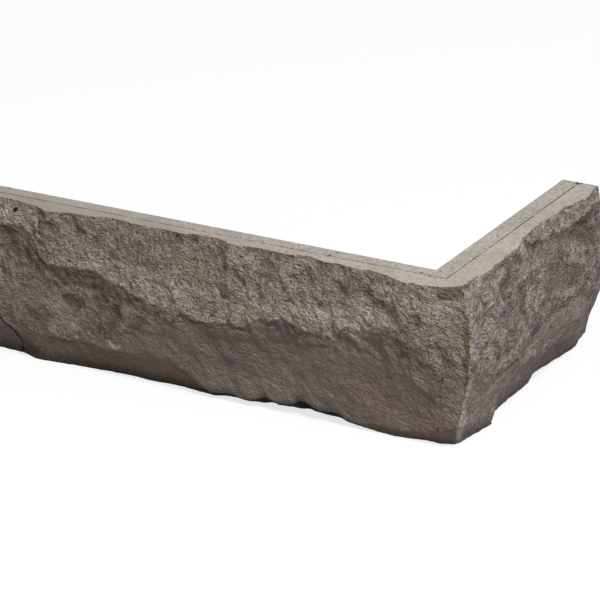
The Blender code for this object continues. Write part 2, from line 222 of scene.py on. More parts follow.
# The wave along the shade's upper edge: its breadth and how far it reaches.
SHADE_WAVE = (0.0030, 0.0006)

# Over what height coarse stone gives way to smooth stone, and how much wider that is by the
# arris, far along the long leg and on the short leg. A stretch is where along the leg the wider
# change sets in, and over what length.
COARSE_SPREAD = 0.0070
ARRIS_SPREAD = 0.0240
ARRIS_STRETCH = (0.030, 0.040)
FAR_SPREAD = 0.0070
FAR_STRETCH = (0.160, 0.020)
SHORT_SPREAD = 0.0045

# Marks on the rock face: distance from the wall's corner, height, half of the length, half of the
# width, lean of the long axis in degrees, up to the right from the front, and strength.
# Stains, and painted shade in some dark hollows and folds.
STAINS_AND_SHADE = Marks(
    on_long=(
        (-21, 68, 9, 8, 0, 0.3), (-20, 51, 11, 8, 0, 0.3), (-3.8, 81.5, 3, 2.5, -50, 0.6),
        (6.5, 95.1, 3, 1.5, -60, 0.6), (10.3, 52.2, 8, 7, 0, 0.25), (20, 23, 35, 12, 0, 0.3),
        (23.5, 59, 20, 5, 5, 0.2), (36, 42, 28, 12, 0, 0.6), (40.6, 87.8, 20, 3, 0, 0.35),
        (48.2, 88, 7, 4, -20, 0.6), (50, 93, 25, 6, 0, 0.2), (50, 30, 35, 20, 0, 0.35),
        (67.1, 96.9, 6, 3, -20, 0.7), (75, 84, 25, 5, -20, 0.22), (90, 47, 13, 6, 0, 0.75),
        (90.6, 39.7, 8, 5, 0, 0.4), (92.1, 98.1, 5, 2.5, 0, 0.6), (98.2, 91.3, 8, 3, -10, 0.5),
        (98.9, 44.6, 10, 4, 0, 0.6), (105.3, 76.5, 3, 1.5, -20, 0.6), (118.5, 80.2, 7, 4, 0, 0.3),
        (122.7, 62.9, 5, 2.5, -30, 0.5), (123.4, 72, 5, 2.5, -20, 0.4), (125, 63.1, 5, 3, -30, 0.5),
        (125.7, 40.1, 15, 10, 0, 0.5), (127.8, 71.6, 6, 3, -20, 0.5), (140, 28, 22, 12, 0, 0.4),
        (145, 37, 26, 9, 0, 0.3), (150, 96, 70, 6, 0, 0.14), (152.1, 53.5, 5, 3, 0, 0.8),
        (152.4, 12.4, 6, 3, -40, 0.9), (153.7, 97.1, 4, 2.5, -20, 0.7),
        (163.1, 17.9, 6, 2, -20, 0.6), (166.9, 97.8, 8, 3, -10, 0.7),
        (172.9, 55.7, 4, 2.5, -20, 0.7), (187.4, 58.2, 6, 3, -10, 0.6),
        (190.6, 75.3, 7, 3, -30, 0.4), (192, 88.2, 9, 3.5, -35, 0.45),
        (199.8, 60.1, 6, 3, -20, 0.4), (202.4, 42.8, 5, 6.5, 0, 0.8), (205.6, 80.6, 5, 2, -20, 0.5),
        (210, 88, 60, 16, -5, 0.2), (212.2, 56.3, 8, 5, -10, 0.6), (217.4, 28.5, 14, 5, 0, 0.5),
        (219, 65.1, 9, 6, -10, 0.9), (221, 87.5, 2.5, 2, 0, 0.7), (225, 93.5, 5, 3, -20, 0.5),
        (234.3, 46.7, 8, 4.5, 0, 1.0), (235.5, 80.5, 2, 1.5, 0, 1.0), (236.9, 63.9, 14, 6, 0, 0.8),
        (239.8, 82.6, 3, 1.5, -20, 0.6), (245.5, 80.7, 3, 2, 0, 0.5), (250, 54, 45, 20, 0, 0.15),
        (255.3, 65.7, 6, 4, -10, 0.9), (255.4, 91, 8, 3, -20, 0.7), (260.1, 28.9, 5.5, 9, 40, 0.8),
        (269.6, 68.1, 8, 5, -35, 0.9), (272, 8, 11, 3.5, -35, 0.9), (274, 85.2, 4, 3, -30, 0.7),
        (279.3, 75.4, 8, 4, -40, 0.8), (285.1, 81.4, 6, 5, -30, 0.6)),
    on_short=(
        (11, 48, 7, 7, 0, 0.45), (22.7, 85.2, 5, 3, 0, 0.4), (29.8, 37.7, 4, 2, 0, 0.5),
        (33, 83, 16, 6, 50, 0.6), (33.1, 74.4, 8, 5, 0, 0.4), (34.2, 51.1, 13, 5, 0, 0.5),
        (42, 59, 9, 6, 0, 0.45), (42.5, 24.6, 20, 6, 0, 0.4), (52.2, 62.6, 7, 3, 0, 0.5),
        (54.2, 94.9, 6, 4, 0, 0.7), (57, 70, 9, 6, 0, 0.6), (70, 70, 30, 12, 20, 0.15),
        (83.5, 90.8, 10.5, 3, -22, 0.9), (91.9, 55.3, 8, 5, 0, 0.4), (100, 48, 20, 6, 0, 0.35),
        (109.4, 72.2, 14, 8, 0, 0.55), (110.8, 15.2, 30, 6, 0, 0.5), (112, 60, 16, 6.5, 0, 0.6),
        (123.7, 59, 18, 7, -10, 0.6), (150, 78.5, 23, 6.5, -15, 1.0)))
RUST_PATCHES = Marks(
    on_long=(
        (-14.5, 13.6, 14, 9, 0, 0.6), (26.5, 27.1, 22, 15, 0, 0.4), (181.3, 13.8, 24, 8, 0, 0.9),
        (242.5, 12.7, 22, 8, 0, 0.7)),
    on_short=((97.3, 32.7, 40, 8, 0, 0.25),))
# Pale patches, partly pale stone and partly painted highlights on ledges, ridges and chips.
PALE_PATCHES = Marks(
    on_long=(
        (-18, 87, 10, 8, 0, 0.75), (14, 70, 8, 5, 0, 0.4), (15, 92, 16, 7, 0, 0.6),
        (26, 73.5, 28, 7, 6, 0.7), (40, 80, 10, 5, 0, 0.4), (46, 70, 26, 7, 0, 1.1),
        (65, 84, 10, 6, 0, 0.4), (81.8, 97.8, 7, 3, 10, 0.5), (85, 66, 26, 7, 0, 0.45),
        (90, 92, 8, 5, 0, 0.6), (93, 76, 16, 8, -10, 0.35), (115, 70, 10, 6, 0, 0.6),
        (120, 92, 20, 6, 0, 0.6), (130, 63, 24, 9, 0, 0.35), (172, 67, 26, 10, -15, 0.6),
        (204.5, 21.4, 6, 1.8, 0, 0.8), (212, 72, 12, 4.5, -20, 0.6), (223, 78, 24, 7, -15, 0.4),
        (243, 36, 15, 7, 0, 0.6), (265, 43, 6, 9, 0, 0.35), (266, 93, 7, 5, 0, 0.8),
        (278.5, 34.5, 8, 1.4, -66, 0.6), (282.4, 89.8, 8, 4.5, 0, 1.0)),
    on_short=(
        (-27.9, 16.9, 4.5, 4, 45, 0.6), (-10, 93, 10, 6, 0, 0.5), (26, 93, 9, 5, 0, 0.8),
        (59, 82, 6, 6, 0, 0.5), (72, 91.8, 10, 2.4, -26, 0.9), (88, 76, 8, 9, 0, 0.55),
        (108, 93.5, 13, 4.5, -20, 0.9), (136, 92, 11, 5, -20, 0.9)))
OLIVE_PATCHES = Marks(
    on_long=((-23.5, 56, 3, 12, 0, 0.5), (-20, 97.5, 8, 4, 0, 0.9)),
    on_short=((-0.5, 17, 12, 8, 0, 0.4),))
BLOOM_PATCHES = Marks(
    on_long=((-26.1, 33, 6, 15, 0, 0.3),),
    on_short=(
        (8.1, 80.3, 10, 12, 0, 0.6), (25, 65, 20, 25, 0, 0.8), (62, 77, 10, 12, 0, 0.55),
        (149.9, 49.2, 8, 5, 0, 0.4)))
# Small pits, painted with the deep shade colour for the shade inside them, in the same form.
PITS = Marks(
    on_long=((281, 95, 1.8, 1.4, 0, 1.0),),
    on_short=(
        (74.7, 97.6, 1.4, 1, 0, 0.9), (92.7, 98.8, 1.2, 0.9, 0, 0.9),
        (107.3, 98.8, 1.2, 0.9, 0, 0.9), (116, 96.2, 1.2, 0.9, 0, 0.8),
        (137.3, 98, 4.5, 0.8, -3, 0.8)))
# Bites out of the bottom edge, in the same form. Their strength is a share of the notch depth.
NOTCHES = Marks(
    on_long=(
        (55, 4, 6, 4.5, 0, 0.8), (76.5, 6, 4, 6, 0, 1.0), (101, 4, 4, 5, 0, 0.9),
        (128, 2, 8, 4, 0, 0.8)))
# Bands beside the arris: height and strength. Each fades out within its breadth.
# The rim band is partly an olive tint and partly painted shadow under the arris's overhang.
RIM_BAND = strengths(
    (12, 0.1), (20, 0.4), (42, 0.6), (50, 0.9), (70, 1.0), (80, 0.5), (90, 0.35), (100, 0.5))
RIM_BREADTH = 0.0058
BLOOM_BAND = strengths((20, 0.6), (35, 0.7), (50, 1.1), (65, 0.9), (85, 1.1), (100, 0.9))
BLOOM_BREADTH = 0.0130
# The band low on the arris is partly worn pale stone and partly a painted highlight on the edge.
RUBBED_AND_HIGHLIT_BAND = strengths((3, 0.4), (12, 0.6), (24, 0.25), (40, 0.0))
RUBBED_AND_HIGHLIT_BREADTH = 0.0045
# The lilac bloom all over the short leg's coarse stone, which also paints that leg lighter as if
# more light fell on it, and how broad the change between the legs is.
SHORT_BLOOM_AND_LIGHT = 0.70
SIDE_BREADTH = 0.004
# Fine cracks beside the arris on the long leg.
CRACKS = (
    outline((-20.2, 49.3), (-20.9, 46.1), (-19, 37), (-19.6, 29.8), (-18.8, 25.7)),
    outline((-18.4, 13.1), (-14.3, 10.1), (-11.4, 3.9)))
# How far from a crack its dust and painted shade can lie, below what height the cracks are, how far
# to each side their grooves reach, and the breadth and reach of the wave that they follow.
CRACK_REACH = 0.0025
CRACK_TOP = 0.055
CRACK_BREADTH = 0.0012
CRACK_WAVE = (0.0040, 0.0075)

# Pinholes in the moulded top, each painted dark for the shade inside it: distance from the wall's
# corner towards +X and towards +Y, and radius.
PINHOLES = (
    (11.6, 176.4, 3.6), (-66.9, -8.4, 1.5), (-64.7, -3.4, 1.2), (-5.6, -8.4, 1.2),
    (1.5, -11.4, 1.2), (3.2, -0.8, 0.9), (7.8, 7.7, 1), (11, 28.1, 1), (8.9, 45.9, 1), (7.3, 68, 1),
    (15.2, 76.7, 1.1), (8.9, 104.7, 1.3), (-297.9, -1, 1.4))

# The stone's bed on each leg: the direction in which its lumps and scoops are drawn out.
BEDS = {
    LONG: Vector((1.0, 0.3, -0.95)).normalized(),
    SHORT: Vector((0.2, 0.9, 0.6)).normalized(),
}
LUMP_STRETCH = 1.6
GRAIN_STRETCH = 1.4

# How outlines drift from their places: the breadth of each wave and how far it reaches. It starts
# from a fixed number, so that each run gives the same stone. Some outlines take only a share.
DRIFTS = ((0.010, 0.0045), (0.0035, 0.0018))
DRIFT_SEED = 4
CREST_DRIFT = 0.35
FOOT_DRIFT = 0.3
ARRIS_DRIFT = 0.6

# Waves of noise, each with its breadth and strength: light and dark dapples on the broken stone,
# and the ragged edges of the rock face, which are fainter along the bottom.
DAPPLES = ((0.0060, 1.0), (0.0028, 0.7), (0.0015, 0.5))
RAGGED_EDGES = ((0.0050, 1.0), (0.0022, 0.7))
BOTTOM_SHARE = 0.35

# The direction in which the finest grains are drawn out on each leg.
GRAIN_BEDS = {
    LONG: Vector((1.0, 0.0, -0.25)).normalized(),
    SHORT: Vector((0.0, 0.95, 0.35)).normalized(),
}
FINE_STRETCHES = {LONG: 1.3, SHORT: 1.2}

# Breadths of what the finish paints and raises, how far its grains fray the edges of the painted
# bands, how its patterns wander, and how high its finest relief is.
MOTTLE_BREADTH = 0.030
LILAC_BREADTH = 0.014
CRUMB_BREADTH = 0.0036
GRAIN_BREADTH = 0.0017
GRIT_BREADTH = 0.0008
FRAY = 0.0024
WANDER_BREADTH = 0.0030
WANDER_REACH = 0.0004
HEWN_RELIEF = 0.0062

# The moulded strips: breadths of the grains, of the cells that hold one air hole each and of the
# breaks in the seam, the height of the finest relief, and between which distances from the wall's
# corner the colour of the far end takes over.
STRIP_GRAIN = 0.0016
HOLE_CELL = 0.0045
SEAM_BREAK = 0.0070
STRIP_RELIEF = 0.0006
FAR_START = 0.02
FAR_END = 0.28

# The studio. The camera looks at a point near the wall's corner, and its lens is in millimetres.
CAMERA_AZIMUTH = 28.415106
CAMERA_ELEVATION = 21.769551
CAMERA_TARGET = (WALL_X - 0.0917496, WALL_Y, 0.063389)
CAMERA_DISTANCE = 2.4
CAMERA_LENS = 237.913
KEY_PLACE = (1.65, -1.15, 3.0)
KEY_AIM = (0.0, 0.0, 0.05)
# The floor is this far below the stone's bed, so that the two don't lie in one plane.
FLOOR_GAP = 0.0002
FLOOR_COLOUR = (0.36, 0.36, 0.36, 1.0)
FLOOR_GLOW = 0.74
WHITE = (1.0, 1.0, 1.0, 1.0)


def follow(line, station):
    """The height of a line of points at one distance along it."""
    after = bisect.bisect_left(line, (station,))
    if after == 0:
        return line[0][1]
    if after == len(line):
        return line[-1][1]
    before, beyond = line[after - 1], line[after]
    share = (station - before[0]) / (beyond[0] - before[0])
    return before[1] + (beyond[1] - before[1]) * share


def eased(value):
    """A soft step from nothing at zero to one at one."""
    value = min(1.0, max(0.0, value))
    return value * value * (3.0 - 2.0 * value)


def held(value, limit):
    """The value, held between minus and plus the limit."""
    return max(-limit, min(limit, value))


class Place:
    """Where a point of the rock face lies: on which leg, how far along and how high."""

    def __init__(self, point):
        long_depth = WALL_Y - point.y
        short_depth = point.x - WALL_X
        self.point = point
        self.height = point.z
        self.off_arris = long_depth - short_depth - follow(ARRIS_LINE, point.z)
        self.leg = LONG if self.off_arris > 0.0 else SHORT
        self.along = -short_depth if self.leg == LONG else -long_depth
        self.drift = sum(
            (noise.noise_vector(point / breadth) * reach for breadth, reach in DRIFTS), Vector())
        self.over_crest = self.height + CREST_DRIFT * self.drift.z - self.on(CRESTS)

    def on(self, lines):
        """The height or strength of one leg's line there."""
        return follow(lines[self.leg], self.along)


def bedded(place, stretch):
    """The point, drawn in along its leg's bed, so that a pattern on it is drawn out there."""
    bed = BEDS[place.leg]
    return place.point - bed * place.point.dot(bed) * (1.0 - 1.0 / stretch)


def chips(point, size):
    """Flat-sided chips, from about minus one to one: each has a level and a tilt of its own."""
    scaled = point / size
    nearest = noise.voronoi(scaled)[1][0]
    tilt = noise.cell_vector(nearest) - Vector((0.5, 0.5, 0.5))
    return 0.4 * noise.cell(nearest) + (scaled - nearest).dot(tilt) * 1.6


def waves(point, octaves):
    """Waves of noise on top of each other."""
    return sum(strength * noise.noise(point / breadth) for breadth, strength in octaves)


def crack_at(place):
    """The distance to the nearest crack, with the sign of the side that the place is on."""
    nearest = CRACK_REACH
    if place.leg == SHORT or place.along >= 0.0 or place.height >= CRACK_TOP:
        return nearest
    for crack in CRACKS:
        for start, end in zip(crack, crack[1:]):
            run = Vector(end) - Vector(start)
            off = Vector((place.along, place.height)) - Vector(start)
            share = min(1.0, max(0.0, off.dot(run) / run.length_squared))
            apart = (off - run * share).length
            if apart < abs(nearest):
                nearest = math.copysign(apart, run.cross(off))
    return nearest


def length_property(name, description, default):
    return FloatProperty(name=name, description=description, default=default, unit="LENGTH")


class CornerSizes(bpy.types.PropertyGroup):
    """Sizes of the stone's fine relief."""

    cuts: IntProperty(
        name="Cuts", description="Cuts across each facet of the cast rock face", default=3,
        min=0, max=4)
    softening: IntProperty(
        name="Softening", description="Rounds of smoothing over the cast facets", default=5, min=0)
    chip_size: length_property("Chip Size", "Breadth of a small chip", 0.0062)
    chip_height: length_property("Chip Height", "Height of the small chips", 0.0016)
    lump_size: length_property("Lump Size", "Breadth of a lump", 0.0042)
    lump_height: length_property("Lump Height", "Height of the lumps", 0.0014)
    grain_size: length_property("Grain Size", "Breadth of a grain", 0.0021)
    grain_height: length_property("Grain Height", "Height of the grains", 0.0015)
    lip_height: length_property("Lip Height", "How far the crest's lip stands out", 0.00035)
    short_share: FloatProperty(
        name="Short Leg's Share", description="How much rougher the short leg is", default=2.5, min=0.0)
    smooth_share: FloatProperty(
        name="Smooth Share", description="How much relief is left on smooth stone", default=0.065,
        subtype="FACTOR", min=0.0, max=1.0)
    raggedness: length_property("Raggedness", "How ragged the edges of the rock face are", 0.0011)
    notch_depth: length_property("Notch Depth", "Depth of the bites in the bottom edge", 0.0030)


def colour_property(name, description, default):
    return FloatVectorProperty(
        name=name, description=description, default=default, subtype="COLOR", size=3,
        min=0.0, max=1.0)


class CornerColours(bpy.types.PropertyGroup):
    """Colours of the stone."""

    coarse: colour_property("Coarse", "Coarse broken stone", (0.645, 0.529, 0.436))
    # The smooth stone's darkness is partly its purple-brown tone and partly painted shade of the lower
    # face, which leans away from the light.
    smooth: colour_property("Smooth", "Smooth stone below the crest", (0.315, 0.246, 0.204))
    # The stain colour also carries painted shade under the crest and in some hollows.
    stain_and_shade: colour_property("Stain", "Dark purple-brown stains", (0.200, 0.156, 0.140))
    rust: colour_property("Rust", "Reddish patches", (0.310, 0.218, 0.172))
    # The olive tint also carries the painted shadow beside the arris.
    olive: colour_property("Olive", "Greenish-brown edge of the arris", (0.300, 0.246, 0.158))
    bloom: colour_property("Bloom", "Pale lilac bloom", (0.800, 0.705, 0.668))
    # The pale colour also carries the painted highlights.
    pale: colour_property("Pale", "Pale rubbed stone", (0.780, 0.680, 0.585))
    lilac: colour_property("Lilac", "Purplish clouds on smooth stone", (0.300, 0.240, 0.216))
    # Dust, together with painted shade in the pits, hollows and cracks.
    dust_and_shade: colour_property("Dirt", "Dust and shade that sit in the pits", (0.058, 0.043, 0.034))
    shade: colour_property("Shade", "Deep shade under the foot", (0.020, 0.015, 0.012))
    front_strip: colour_property("Front Strip", "Moulded edge before the seam", (0.550, 0.488, 0.428))
    front_far: colour_property(
        "Front Strip's Far End", "The same, far from the corner", (0.430, 0.372, 0.322))
    back_strip: colour_property("Back Strip", "Moulded edge and back", (0.520, 0.470, 0.417))
    back_far: colour_property(
        "Back Strip's Far End", "The same, far from the corner", (0.470, 0.426, 0.380))


class CornerStudio(bpy.types.PropertyGroup):
    """The studio's light and floor."""

    key_power: FloatProperty(
        name="Key Power", description="Power of the large lamp", default=78.0, unit="POWER")
    key_size: FloatProperty(
        name="Key Size", description="Breadth of the large lamp", default=1.1, unit="LENGTH")
    sky: FloatProperty(
        name="Sky", description="Strength of the light from all round", default=0.27, min=0.0)
    floor_size: FloatProperty(
        name="Floor Size", description="Breadth of the floor", default=40.0, unit="LENGTH")


def near_plane(face, axis, level):
    return all(abs(vert.co[axis] - level) < FLAT_DEPTH for vert in face.verts)


def sort_faces(bm):
    """Tells the rock face from the moulded edges and backs, before and behind the seam."""
    planes = (
        (2, CAST_HIGH.z), (2, CAST_LOW.z), (0, CAST_LOW.x), (1, CAST_HIGH.y),
        (0, WALL_X), (1, WALL_Y))
    for face in bm.faces:
        if not any(near_plane(face, axis, level) for axis, level in planes):
            face.material_index = HEWN
            continue
        middle = face.calc_center_median()
        behind = WALL_Y - middle.y < LONG_SEAM_SETBACK and middle.x - WALL_X < SHORT_SEAM_SETBACK
        face.material_index = BACK_STRIP if behind else FRONT_STRIP


def is_hewn(face):
    return face.material_index == HEWN


def join_beds(bm):
    """Makes one face of each flat bed before the seam, so that its ragged edge can't fold it."""
    for level in (CAST_LOW.z, CAST_HIGH.z):
        bed = [
            face for face in bm.faces
            if face.material_index == FRONT_STRIP
            and all(abs(vert.co.z - level) < MERGE_DISTANCE for vert in face.verts)]
        bmesh.ops.dissolve_faces(bm, faces=bed)


def refine(bm, cuts, softening):
    """Cuts the rock face finer and eases its facets into each other."""
    edges = [edge for edge in bm.edges if any(is_hewn(face) for face in edge.link_faces)]
    bmesh.ops.subdivide_edges(bm, edges=edges, cuts=cuts, use_grid_fill=True)
    inner = [vert for vert in bm.verts if all(is_hewn(face) for face in vert.link_faces)]
    for _ in range(softening):
        bmesh.ops.smooth_vert(
            bm, verts=inner, factor=0.5, use_axis_x=True, use_axis_y=True, use_axis_z=True)
    bm.normal_update()
    return inner


def is_seam(vert):
    """Whether a point lies on the floor of the moulded seam."""
    depths = (
        CAST_HIGH.z - vert.co.z, vert.co.z - CAST_LOW.z, vert.co.x - CAST_LOW.x,
        CAST_HIGH.y - vert.co.y)
    return any(abs(depth - SEAM_DEPTH) < SEAM_TOLERANCE for depth in depths)


class Weathering:
    """Works out the relief and the weathering of each point of the rock face."""

    def __init__(self, sizes):
        noise.seed_set(DRIFT_SEED)
        self.sizes = sizes

    def stain_and_shade(self, place):
        """How dark the stains and the painted shade in some hollows are, which are fainter on the lip
        of the crest.
        """
        over = place.over_crest
        return STAINS_AND_SHADE.drifted(place) * (
            1.0 - 0.9 * eased(0.5 + over / CLEAN_RISE) * eased(1.6 - over / CLEAN_FALL))

    def coarse(self, place, stain_and_shade):
        """How coarse the stone is, from smooth at nothing to freshly broken at one."""
        start, length = ARRIS_STRETCH
        spread = COARSE_SPREAD + ARRIS_SPREAD * eased((start - place.along) / length)
        if place.leg == LONG:
            start, length = FAR_STRETCH
            spread += FAR_SPREAD * eased((place.along - start) / length)
        else:
            spread += SHORT_SPREAD
        line = place.on(COARSE_LINES)
        coarse = eased(0.5 + (place.height + place.drift.z - line) / spread)
        return coarse * (1.0 - 0.6 * stain_and_shade)

    def lip(self, place):
        """How far the lip of the crest stands out."""
        softness = place.on(CREST_SOFTNESS)
        lip = self.sizes.lip_height * place.on(CREST_LIPS)
        lip *= eased(0.5 + place.over_crest / (LIP_RISE * softness))
        lip *= eased(1.3 - place.over_crest / LIP_FALL)
        return lip * self.sizes.short_share if place.leg == SHORT else lip

    def relief(self, place, coarse, crack):
        """How far the stone is raised, and how hollow it is there."""
        sizes = self.sizes
        drawn = bedded(place, LUMP_STRETCH)
        raised = chips(drawn, sizes.chip_size) * sizes.chip_height
        raised += noise.noise(drawn / sizes.lump_size) * sizes.lump_height
        drawn = bedded(place, GRAIN_STRETCH)
        raised += noise.noise(drawn / sizes.grain_size) * sizes.grain_height
        most = sizes.chip_height + sizes.lump_height + sizes.grain_height
        hollow = eased(0.5 - 1.6 * raised / most)
        raised *= max(coarse, sizes.smooth_share)
        if place.leg == SHORT:
            raised *= 1.0 + (sizes.short_share - 1.0) * coarse
        raised += self.lip(place)
        raised -= max(0.0, 1.0 - abs(crack) / CRACK_BREADTH) * sizes.grain_height * 0.7
        return raised, hollow

    def bloom(self, place, coarse, from_arris):
        """How strong the bloom is, which lies all over the short leg's coarse stone and there also
        paints that leg lighter, as if more light fell on it.
        """
        bloom = BLOOM_PATCHES.drifted(place)
        if from_arris <= 0.0:
            band = eased(1.2 + from_arris / BLOOM_BREADTH) * follow(BLOOM_BAND, place.height)
            bloom = max(bloom, band, SHORT_BLOOM_AND_LIGHT * (0.3 + 0.7 * coarse))
        return bloom

    def pale(self, place):
        """How pale the stone is painted: pale patches with painted highlights, and the band beside the
        arris, partly worn pale and partly a painted highlight.
        """
        off_band = abs(place.off_arris + RUBBED_AND_HIGHLIT_BREADTH / 2) / RUBBED_AND_HIGHLIT_BREADTH
        band = eased(1.2 - off_band) * follow(RUBBED_AND_HIGHLIT_BAND, place.height)
        return max(PALE_PATCHES.drifted(place), band)

    def under_foot_line(self, place):
        """How far a point lies below the top edge of the long leg's bare foot."""
        if place.leg == SHORT:
            return -BAND_REACH
        line = follow(FOOT_LINE, place.along)
        return max(-BAND_REACH, line - place.height - FOOT_DRIFT * place.drift.z)

    def shade(self, place):
        """How far into the painted shade under the foot a point is, and how deep that shade is. Small
        pits take the same painted shade.
        """
        pit = PITS.at(place.leg, place.along, place.height)
        if pit > 0.0:
            return 1.5 * pit, pit
        reach, fade, depth = SHORT_SHADE
        if place.leg == LONG:
            reach = follow(SHADE_REACHES, place.along) + waves(place.point, (SHADE_WAVE,))
            fade = follow(SHADE_FADES, place.along)
            depth = follow(SHADE_DEPTHS, place.along)
        return held((reach - place.height) / fade, 3.0), depth

    def at(self, point):
        """How far the stone is raised there, how deep it is bitten, and each layer's strength."""
        place = Place(point)
        stain_and_shade = self.stain_and_shade(place)
        coarse = self.coarse(place, stain_and_shade)
        crack = crack_at(place)
        raised, hollow = self.relief(place, coarse, crack)
        bitten = NOTCHES.at(place.leg, place.along, place.height) * self.sizes.notch_depth
        from_arris = place.off_arris + place.drift.x * ARRIS_DRIFT
        shade, shade_depth = self.shade(place)
        return raised, bitten, {
            "coarse": coarse,
            "stain_and_shade": stain_and_shade,
            "rust": RUST_PATCHES.drifted(place),
            "pale": self.pale(place),
            "olive": OLIVE_PATCHES.drifted(place),
            "bloom": self.bloom(place, coarse, from_arris),
            "hollow": hollow,
            "crack": crack,
            "cracked": eased(1.5 * (1.0 - abs(crack) / CRACK_REACH)),
            "dapple": eased(0.5 + 1.1 * waves(bedded(place, LUMP_STRETCH), DAPPLES)),
            "side": eased(0.5 - place.off_arris / SIDE_BREADTH),
            "crest": held(place.over_crest, CREST_REACH),
            "crest_lip": place.on(CREST_LIPS),
            "crest_shade": place.on(CREST_SHADES),
            "crest_softness": place.on(CREST_SOFTNESS),
            "lip_fade": LIP_BREADTHS[place.leg],
            "foot": self.under_foot_line(place),
            "shade": shade,
            "shade_depth": shade_depth,
            "arris": held(from_arris, BAND_REACH),
            "rim": follow(RIM_BAND, place.height),
        }


def level_outwards(vert):
    """The level direction in which an edge of the rock face moves; at the square ends, none."""
    if vert.co.x < CAST_LOW.x + FLAT_DEPTH or vert.co.y > CAST_HIGH.y - FLAT_DEPTH:
        return Vector((0.0, 0.0, 0.0))
    return Vector((vert.normal.x, vert.normal.y, 0.0)).normalized()


def weather(bm, inner, sizes):
    """Raises the fine relief, makes the edges ragged and stores the weathering's layers."""
    weathering = Weathering(sizes)
    # The names of the layers are the same at every point.
    layers = {name: bm.verts.layers.float.new(name) for name in weathering.at(CAST_HIGH)[2]}
    seam = bm.verts.layers.float.new("seam")
    inside = set(inner)
    moves = []
    for vert in bm.verts:
        if not any(is_hewn(face) for face in vert.link_faces):
            vert[seam] = 1.0 if is_seam(vert) else 0.0
            continue
        raised, bitten, values = weathering.at(vert.co)
        for name, value in values.items():
            vert[layers[name]] = value
        outwards = vert.normal.copy()
        if vert not in inside:
            outwards = level_outwards(vert)
            share = BOTTOM_SHARE if vert.co.z < HEIGHT / 2 else 1.0
            raised = sizes.raggedness * share * (waves(vert.co, RAGGED_EDGES) - 0.3)
        level = Vector((outwards.x, outwards.y, 0.0))
        moves.append((vert, outwards * raised - level * bitten))
    for vert, move in moves:
        vert.co = Vector(
            min(max(place, low), high)
            for place, low, high in zip(vert.co + move, CAST_LOW, CAST_HIGH))


class Finish:
    """A node material, built up a step at a time."""

    def __init__(self, name):
        self.material = bpy.data.materials.new(name)
        self.material.use_nodes = True
        self.tree = self.material.node_tree
        self.shader = self.tree.nodes["Principled BSDF"]
        self.place = self.node("ShaderNodeTexCoord").outputs["Object"]

    def node(self, kind, inputs=None, **settings):
        made = self.tree.nodes.new(kind)
        for name, value in settings.items():
            setattr(made, name, value)
        for name, value in (inputs or {}).items():
            self.give(made.inputs[name], value)
        return made

    def give(self, socket, value):
        if isinstance(value, bpy.types.NodeSocket):
            self.tree.links.new(value, socket)
        else:
            socket.default_value = value

    def vector(self, operation, inputs, output="Vector"):
        made = self.node("ShaderNodeVectorMath", inputs, operation=operation)
        return made.outputs[output]

    def layer(self, name):
        made = self.node("ShaderNodeAttribute", attribute_type="GEOMETRY", attribute_name=name)
        return made.outputs["Fac"]

    def cloud(self, size, detail=3.0, roughness=0.55, place=None):
        """Cloudy noise with features of about the given size in metres, from zero to one."""
        made = self.node("ShaderNodeTexNoise", {
            "Vector": place or self.place, "Scale": 1.0 / size, "Detail": detail,
            "Roughness": roughness})
        return made.outputs["Fac"]

    def mixed(self, share, first, second):
        made = self.node("ShaderNodeMix", data_type="FLOAT")
        self.give(made.inputs["Factor"], share)
        self.give(made.inputs[2], first)
        self.give(made.inputs[3], second)
        return made.outputs[0]

    def wander(self, size, reach):
        """Makes all later patterns wander by up to the given distance."""
        made = self.node("ShaderNodeTexNoise", {
            "Vector": self.place, "Scale": 1.0 / size, "Detail": 2.0})
        off = self.vector("SUBTRACT", {0: made.outputs["Color"], 1: (0.5, 0.5, 0.5)})
        off = self.vector("SCALE", {0: off, "Scale": 2.0 * reach})
        self.place = self.vector("ADD", {0: self.place, 1: off})

    def cells(self, size):
        """Distance to the nearest of scattered points, in cells of the given size."""
        made = self.node("ShaderNodeTexVoronoi", {"Vector": self.place, "Scale": 1.0 / size})
        return made.outputs["Distance"]

    def maths(self, operation, *values):
        made = self.node("ShaderNodeMath", dict(enumerate(values)), operation=operation)
        return made.outputs[0]

    def joined(self, operation, values):
        result = values[0]
        for value in values[1:]:
            result = self.maths(operation, result, value)
        return result

    def product(self, *values):
        return self.joined("MULTIPLY", values)

    def total(self, *values):
        return self.joined("ADD", values)

    def most(self, *values):
        return self.joined("MAXIMUM", values)

    def less(self, value, taken):
        return self.maths("SUBTRACT", value, taken)

    def near(self, place, reach):
        """One at a place, fading to nothing at the given distance from it."""
        apart = self.vector("DISTANCE", {0: self.place, 1: place}, "Value")
        return self.ranged(apart, reach * 0.4, reach, 1.0, 0.0)

    def ranged(self, value, low, high, new_low=0.0, new_high=1.0):
        made = self.node("ShaderNodeMapRange", {
            "Value": value, "From Min": low, "From Max": high, "To Min": new_low,
            "To Max": new_high}, interpolation_type="SMOOTHSTEP")
        return made.outputs["Result"]

    def blend(self, share, first, second):
        made = self.node("ShaderNodeMix", data_type="RGBA", blend_type="MIX")
        self.give(made.inputs["Factor"], share)
        self.give(made.inputs[6], first)
        self.give(made.inputs[7], second)
        return made.outputs[2]

    def shaded(self, colour, value):
        """The colour, darkened or lightened by a number."""
        return self.vector("SCALE", {0: colour, "Scale": value})

    def settle(self, colour, roughness, height, strength, distance):
        """Gives the shader its colour, roughness and finest relief."""
        made = self.node("ShaderNodeBump", {
            "Height": height, "Strength": strength, "Distance": distance})
        self.give(self.shader.inputs["Base Color"], colour)
        self.give(self.shader.inputs["Normal"], made.outputs["Normal"])
        self.shader.inputs["Roughness"].default_value = roughness
        self.shader.inputs["Specular IOR Level"].default_value = 0.25


def opaque(colour):
    return (colour[0], colour[1], colour[2], 1.0)


